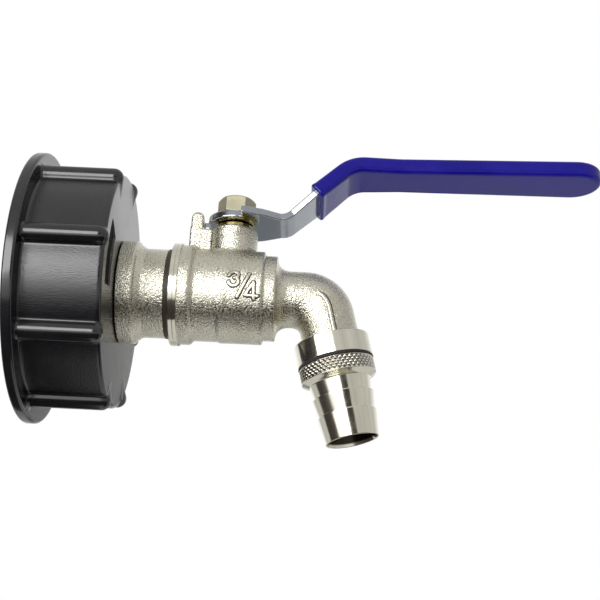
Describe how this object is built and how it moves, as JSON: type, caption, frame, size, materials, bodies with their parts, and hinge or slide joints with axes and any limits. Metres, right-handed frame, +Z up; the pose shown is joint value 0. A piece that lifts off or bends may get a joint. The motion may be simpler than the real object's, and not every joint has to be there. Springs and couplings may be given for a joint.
{
  "type": "ibc tap adapter",
  "caption": "Screw cap with coarse inside thread for a bulk container outlet, carrying a plated quarter-turn ball tap with a sleeved lever and a hose tail.",
  "frame": {"origin": "centre of the cap's open mouth, on the face that meets the tank", "axes": "+X along the flow from tank to spout, +Z up along the tap's stem"},
  "size_m": [0.1688, 0.08, 0.0895],
  "materials": {
    "cap_plastic": "black moulded polypropylene, grained between the ribs",
    "black_rubber": "black sealing rubber",
    "cast_nickel": "brass casting, shot blasted and nickel plated",
    "turned_nickel": "turned brass, bright nickel plated",
    "joint_sealant": "dark brown thread seal",
    "chromed_ball": "polished and chromed brass",
    "white_seat": "white fluoropolymer",
    "brass": "turned brass",
    "plated_steel": "pressed steel, bright zinc plated",
    "blue_vinyl": "dipped blue vinyl, glossy"
  },
  "bodies": {
    "tap": {"cap": "cap_plastic", "tank_gasket": "black_rubber", "inlet_washer": "black_rubber", "inlet_tail": "cast_nickel", "joint_seal": "joint_sealant", "body": "cast_nickel", "inlet_seat": "white_seat", "outlet_seat": "white_seat", "stem_thrust_washer": "white_seat", "packing_lower": "white_seat", "packing_upper": "white_seat", "gland_nut": "brass", "nozzle": "turned_nickel", "nozzle_o_ring": "black_rubber"},
    "handle": {"stem": "brass", "ball": "chromed_ball", "lever": "plated_steel", "lever_sleeve": "blue_vinyl", "spring_washer": "plated_steel", "lever_nut": "plated_steel"}
  },
  "joints": [
    {"name": "lever_turn", "type": "hinge", "parent": "tap", "child": "handle", "pos_m": [0.058, 0, 0], "axis": [0, 0, 1], "range_deg": [-90, 0]}
  ]
}
